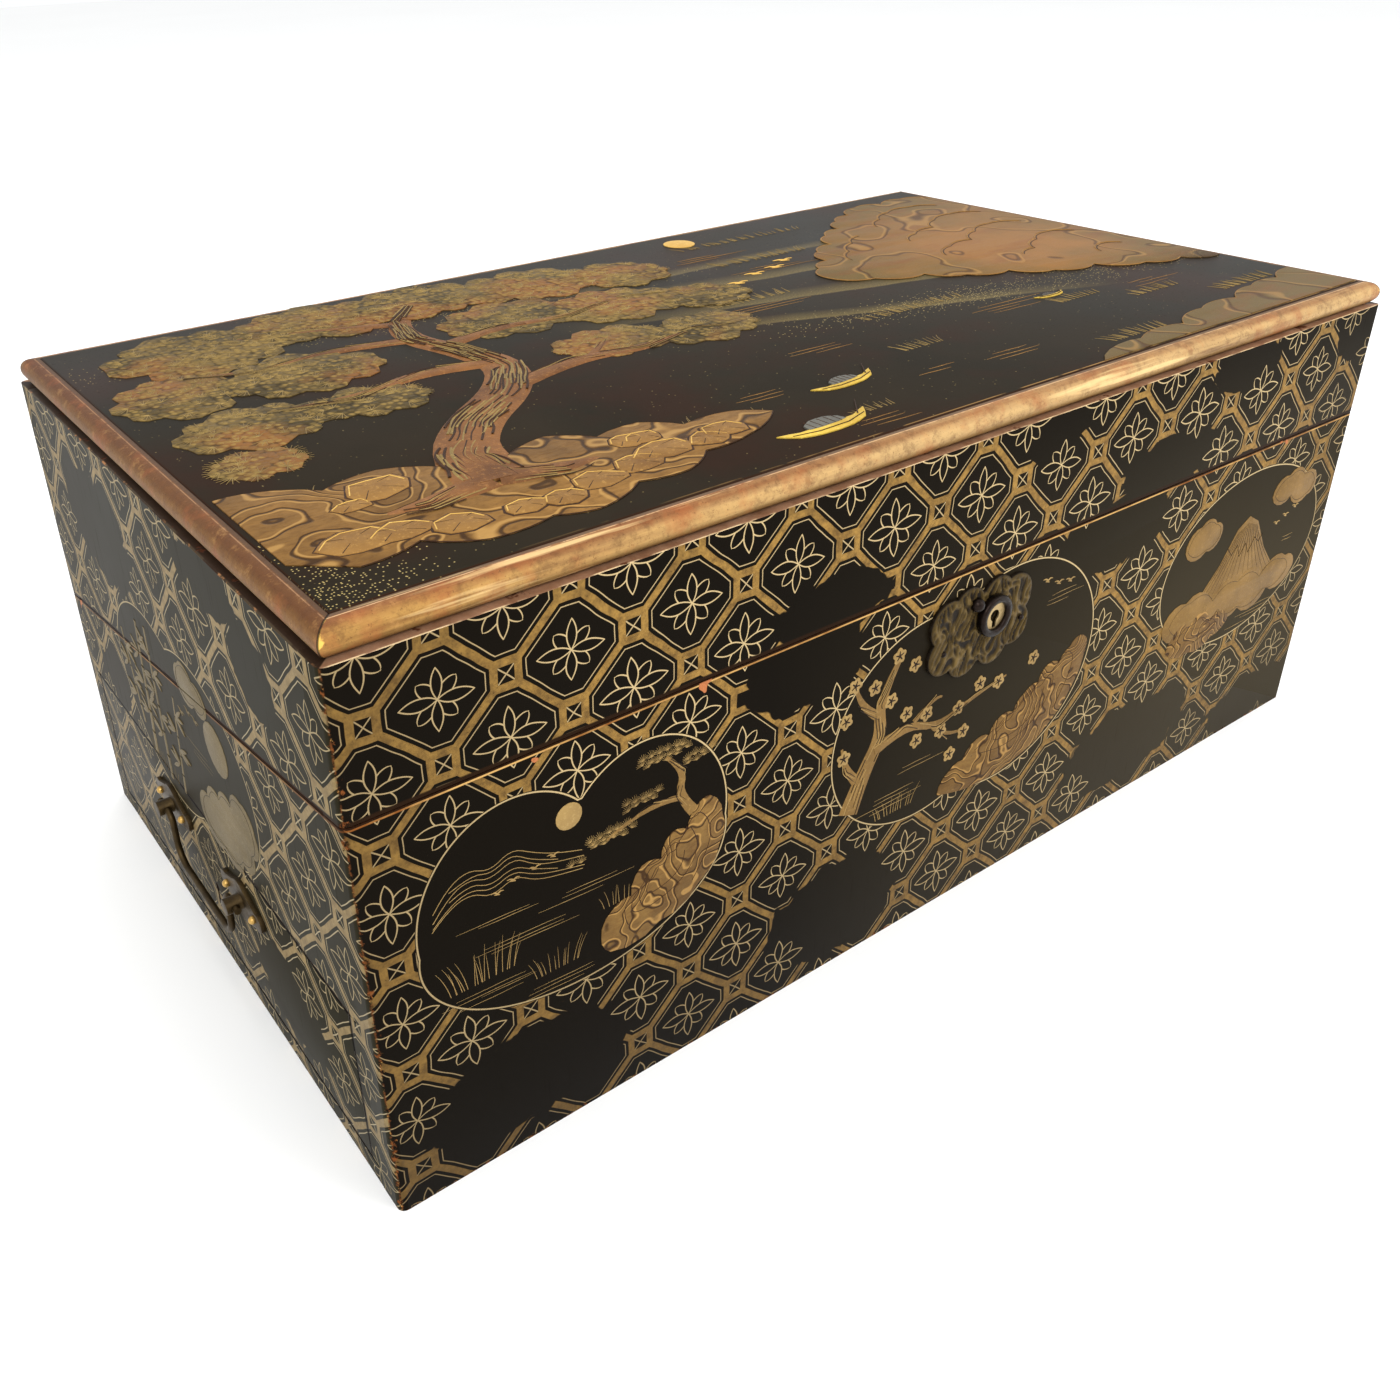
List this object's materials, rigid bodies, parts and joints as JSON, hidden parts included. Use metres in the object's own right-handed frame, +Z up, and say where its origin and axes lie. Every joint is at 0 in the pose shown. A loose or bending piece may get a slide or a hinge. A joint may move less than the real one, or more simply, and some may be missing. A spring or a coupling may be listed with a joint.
{
  "type": "lacquer writing box",
  "caption": "Lacquered writing box that parts on a slope: the lid turns over into one long writing slope, with a drawer in the left end.",
  "frame": {"origin": "middle of the case's underside, on the table", "axes": "+X towards the right end, -Y out of the lock side, +Z up"},
  "size_m": [0.457, 0.2633, 0.19],
  "materials": {
    "lacquer": "polished black lacquer with a traditional gold lattice",
    "picture_lacquer": "polished black lacquer with raised gold",
    "gilt_moulding": "worn gilding over red bole",
    "inner_lacquer": "dark brown lacquer, satin",
    "plain_wood": "bare softwood",
    "cloth": "velvet",
    "ink_glass": "thick clear glass",
    "brass": "dulled brass",
    "aged_brass": "dark patinated cast brass",
    "dark_iron": "blackened"
  },
  "bodies": {
    "base": {"bottom_board": "lacquer", "base_front_board": "lacquer", "base_back_board": "lacquer", "base_right_end": "lacquer", "base_left_apron": "lacquer", "left_bottom_rail": "lacquer", "dust_board": "inner_lacquer", "drawer_runner_front": "plain_wood", "drawer_runner_back": "plain_wood", "drawer_guide_front": "lacquer", "drawer_guide_back": "lacquer", "pen_divider": "inner_lacquer", "well_divider_left": "inner_lacquer", "well_divider_right": "inner_lacquer", "tray_rest_left": "inner_lacquer", "tray_rest_right": "inner_lacquer", "pen_tray": "inner_lacquer", "ink_bottle_left": "ink_glass", "ink_bottle_right": "ink_glass", "ink_cap_left": "brass", "ink_cap_right": "brass", "lock_case": "brass", "escutcheon": "aged_brass", "keyhole_collar": "dark_iron", "escutcheon_studs": "dark_iron", "hinge_base_left": "brass", "hinge_base_right": "brass", "hinge_pins": "brass", "base_leaf_pins": "brass"},
    "lock_bolt": {"lock_bolt": "brass"},
    "lid": {"lid_front_board": "lacquer", "lid_back_board": "lacquer", "lid_left_end": "lacquer", "lid_right_end": "lacquer", "lid_panel": "picture_lacquer", "moulding_front": "gilt_moulding", "moulding_back": "gilt_moulding", "moulding_left": "gilt_moulding", "moulding_right": "gilt_moulding", "hinge_lid_left": "brass", "hinge_lid_right": "brass", "link_plate": "brass", "lid_leaf_stop": "inner_lacquer", "lid_leaf_pins": "brass"},
    "base_leaf": {"base_leaf": "inner_lacquer", "base_leaf_cloth": "cloth"},
    "lid_leaf": {"lid_leaf": "inner_lacquer", "lid_leaf_cloth": "cloth"},
    "drawer": {"drawer_front": "lacquer", "drawer_side_front": "plain_wood", "drawer_side_back": "plain_wood", "drawer_back": "plain_wood", "drawer_bottom": "plain_wood", "drawer_lock_case": "brass", "handle_plate_front": "aged_brass", "handle_plate_back": "aged_brass", "handle_nails": "brass"},
    "drawer_lock_bolt": {"drawer_lock_bolt": "brass"},
    "bail": {"bail": "aged_brass"}
  },
  "joints": [
    {"name": "lid_hinge", "type": "hinge", "parent": "base", "child": "lid", "pos_m": [0, 0.1295, 0.095], "axis": [-1, 0, 0], "range_deg": [0, 180]},
    {"name": "base_leaf_hinge", "type": "hinge", "parent": "base", "child": "base_leaf", "pos_m": [0, 0.1127, 0.0937], "axis": [-1, 0, 0], "range_deg": [0, 73]},
    {"name": "lid_leaf_hinge", "type": "hinge", "parent": "lid", "child": "lid_leaf", "pos_m": [0, 0.1127, 0.1018], "axis": [1, 0, 0], "range_deg": [0, 73]},
    {"name": "lock_bolt_slide", "type": "slide", "parent": "base", "child": "lock_bolt", "axis": [1, 0, 0], "range_m": [0, 0.005]},
    {"name": "drawer_slide", "type": "slide", "parent": "base", "child": "drawer", "axis": [-1, 0, 0], "range_m": [0, 0.36]},
    {"name": "drawer_bolt_slide", "type": "slide", "parent": "drawer", "child": "drawer_lock_bolt", "axis": [0, 0, 1], "range_m": [0, 0.004]},
    {"name": "bail_swing", "type": "hinge", "parent": "drawer", "child": "bail", "pos_m": [-0.2292, 0.001, 0.05], "axis": [0, 1, 0], "range_deg": [0, 95]}
  ],
  "couplings": [
    {"joint": "base_leaf_hinge", "follows": "lid_hinge", "ratio": 0.4},
    {"joint": "lid_leaf_hinge", "follows": "lid_hinge", "ratio": 0.4}
  ]
}
